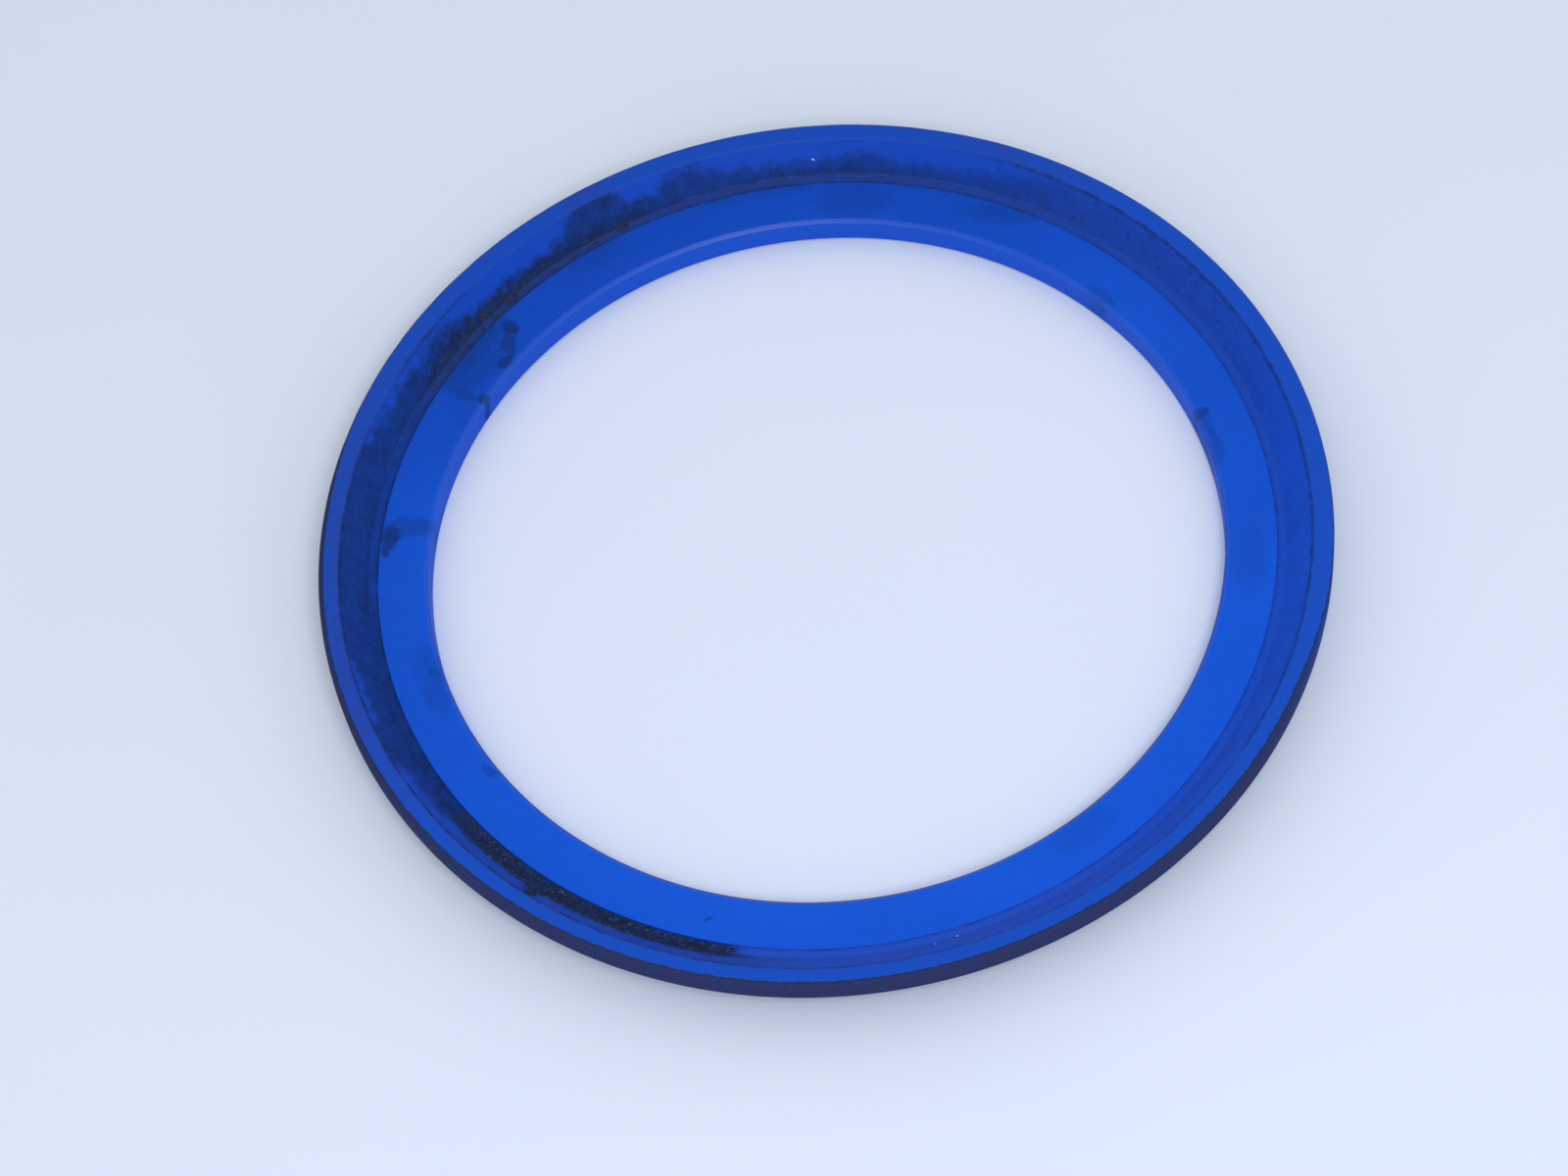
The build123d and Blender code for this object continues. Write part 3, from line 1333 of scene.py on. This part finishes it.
def far_crust(section: SealSection) -> CakedCrust:
    """Describe the crust on the far left of the ring, thin and greasy, with a few lumps.

    Args:
        section: The seal's section.

    Returns:
        The crust, ready to build.
    """
    return CakedCrust(
        section,
        name="far_crust",
        start=206.0,
        end=266.0,
        build_up=(
            (0, 0.0), (206, 0.0), (216, 0.03), (226, 0.06), (236, 0.06), (246, 0.05), (254, 0.04), (262, 0.0),
            (360, 0.0),
        ),
        outer_edge=(
            (0, 43.2), (210, 43.4), (222, 43.9), (230, 44.0), (240, 43.7), (252, 43.7), (258, 43.2),
            (360, 43.2),
        ),
        drips=(Smudge(251.3, 43.0, 0.8, 0.55, 0.22), Smudge(233.0, 43.0, 1.2, 0.5, 0.16)),
        grain_share=((0, 0.0), (212, 0.0), (224, 0.25), (236, 0.4), (252, 0.4), (262, 0.0), (360, 0.0)),
    )


@dataclass(frozen=True)
class Speck:
    """A speck of lint: where it lies and how large it is."""

    bearing: float
    radius: float
    length: float
    width: float
    turn: float


@dataclass
class LintSpecks:
    """Pale specks of lint that stick to the lip."""

    section: SealSection
    specks: tuple[Speck, ...] = (
        Speck(82.9, 43.2, 0.3, 0.2, 60.0),
        Speck(85.7, 43.6, 0.22, 0.16, 10.0),
        Speck(277.6, 44.3, 0.45, 0.2, 70.0),
    )
    seed: int = 4
    raggedness: float = 0.35

    def build(self) -> bpy.types.Object:
        """Form the specks.

        Returns:
            One piece with all of them.
        """
        chance = random.Random(self.seed)
        mesh = bpy.data.meshes.new("lint_specks")
        shape = bmesh.new()
        for speck in self.specks:
            made = bmesh.ops.create_icosphere(shape, subdivisions=2, radius=0.5)["verts"]
            for vertex in made:
                vertex.co *= 1.0 + self.raggedness * (chance.random() - 0.5)
            bmesh.ops.transform(shape, matrix=self._pose(speck), verts=made)
        for face in shape.faces:
            face.smooth = True
        shape.to_mesh(mesh)
        shape.free()
        mesh.materials.append(LINT.material())
        return link(bpy.data.objects.new("lint_specks", mesh))

    def _pose(self, speck: Speck) -> Matrix:
        """Place a unit speck on the lip's inner face.

        Args:
            speck: The speck.

        Returns:
            Matrix from a ball one unit across to its place in metres.
        """
        height = self.section.lip_face_height(speck.radius)
        tilt = Matrix.Rotation(-math.radians(self.section.lip_face_angle), 4, "Y")
        flat = Matrix.Rotation(math.radians(speck.turn), 4, "Z")
        size = Matrix.Diagonal((speck.length * MM, speck.width * MM, 0.5 * speck.width * MM, 1.0))
        place = Matrix.Translation((speck.radius * MM, 0.0, (height + 0.1 * speck.width) * MM))
        return Matrix.Rotation(-math.radians(speck.bearing), 4, "Z") @ place @ tilt @ flat @ size


@dataclass(frozen=True)
class Lamp:
    """A square soft lamp that points at the ring, placed in metres."""

    name: str
    place: tuple[float, float, float]
    side: float
    power: float

    def build(self) -> None:
        """Hang the lamp."""
        light = bpy.data.lights.new(self.name, "AREA")
        light.shape = "SQUARE"
        light.size = self.side
        light.energy = self.power
        lamp = link(bpy.data.objects.new(self.name, light))
        lamp.location = self.place
        lamp.rotation_euler = (-Vector(self.place)).to_track_quat("-Z", "Y").to_euler()


@dataclass
class Studio:
    """Pale table some metres wide, one soft lamp and plain air."""

    width: float = 6.0
    drop: float = 0.02
    lamp: Lamp = Lamp("key_lamp", (0.03, -0.26, 0.38), side=0.16, power=0.8)
    air_strength: float = 0.72
    backdrop: Colour = Colour(213, 225, 245)

    def build(self) -> None:
        """Set up the floor, the lamp, the air and the way colours are shown."""
        bpy.context.scene.view_settings.view_transform = "Standard"
        self._lay_floor()
        self.lamp.build()
        self._fill_air()

    def _lay_floor(self) -> None:
        """Lay a flat table top just under the seat."""
        mesh = bpy.data.meshes.new("table_top")
        half, level = self.width / 2.0, -self.drop * MM
        corners = [(-half, -half, level), (half, -half, level), (half, half, level), (-half, half, level)]
        mesh.from_pydata(corners, [], [(0, 1, 2, 3)])
        mesh.materials.append(TABLE_TOP.material())
        link(bpy.data.objects.new("table_top", mesh))

    def _fill_air(self) -> None:
        """Light the scene evenly, and show the backdrop's colour to the camera and in gloss."""
        world = bpy.data.worlds.new("studio_air")
        world.use_nodes = True
        bpy.context.scene.world = world
        graph = Graph(world.node_tree)
        rays = graph.node("ShaderNodeLightPath")
        seen = Signal(graph, rays.outputs["Is Camera Ray"])
        for name in ("Is Glossy Ray", "Is Transmission Ray"):
            seen = seen.most(Signal(graph, rays.outputs[name]))
        white = {"Strength": self.air_strength, "Color": (1.0, 1.0, 1.0, 1.0)}
        light = graph.signal("ShaderNodeBackground", None, white)
        shown = graph.signal("ShaderNodeBackground", None, {"Strength": 1.0, "Color": self.backdrop.linear()})
        mixed = graph.signal("ShaderNodeMixShader", None, {0: seen, 1: light, 2: shown})
        graph.node("ShaderNodeOutputWorld", None, {"Surface": mixed})


@dataclass
class ViewPoint:
    """Camera above the near side of the ring, rolled a little."""

    target_height: float = 3.0
    elevation: float = 58.09
    roll: float = -10.01
    distance: float = 380.0
    aim_right: float = 3.707
    aim_up: float = 4.153
    lens: float = 92.9
    sensor_width: float = 36.0
    clip_start: float = 0.01

    def build(self) -> None:
        """Set up the camera and make it the scene's."""
        rise, roll = math.radians(self.elevation), math.radians(self.roll)
        ahead = Vector((0.0, math.cos(rise), -math.sin(rise)))
        level = Vector((1.0, 0.0, 0.0))
        upright = level.cross(ahead)
        right = level * math.cos(roll) + upright * math.sin(roll)
        up = upright * math.cos(roll) - level * math.sin(roll)
        aim = right * self.aim_right + up * self.aim_up + ahead * self.distance
        camera = link(bpy.data.objects.new("view_point", bpy.data.cameras.new("view_point")))
        camera.data.lens = self.lens
        camera.data.sensor_width = self.sensor_width
        camera.data.clip_start = self.clip_start
        turn = Matrix((right, up, -ahead)).transposed().to_4x4()
        camera.matrix_world = Matrix.Translation((Vector((0.0, 0.0, self.target_height)) - aim) * MM) @ turn
        bpy.context.scene.camera = camera


def report(piece: bpy.types.Object) -> None:
    """Make a piece ride on the body and log its size.

    Args:
        piece: Finished piece at the origin.
    """
    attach(piece, BODY)
    corners = list(zip(*(vertex.co for vertex in piece.data.vertices)))
    size = " x ".join(f"{(max(values) - min(values)) / MM:.2f}" for values in corners)
    LOG.info("%s: %d faces, %s mm", piece.name, len(piece.data.polygons), size)


def main() -> None:
    """Build the seal, its dirt, the studio and the view point."""
    logging.basicConfig(level=logging.INFO, format="%(name)s: %(message)s")
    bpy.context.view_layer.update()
    section = SealSection()
    report(SealRing(section).build())
    report(GrooveDust(section).build())
    for piece in near_crust(section).build() + far_crust(section).build():
        report(piece)
    report(LintSpecks(section).build())
    Studio().build()
    ViewPoint().build()


if __name__ == "__main__":
    main()
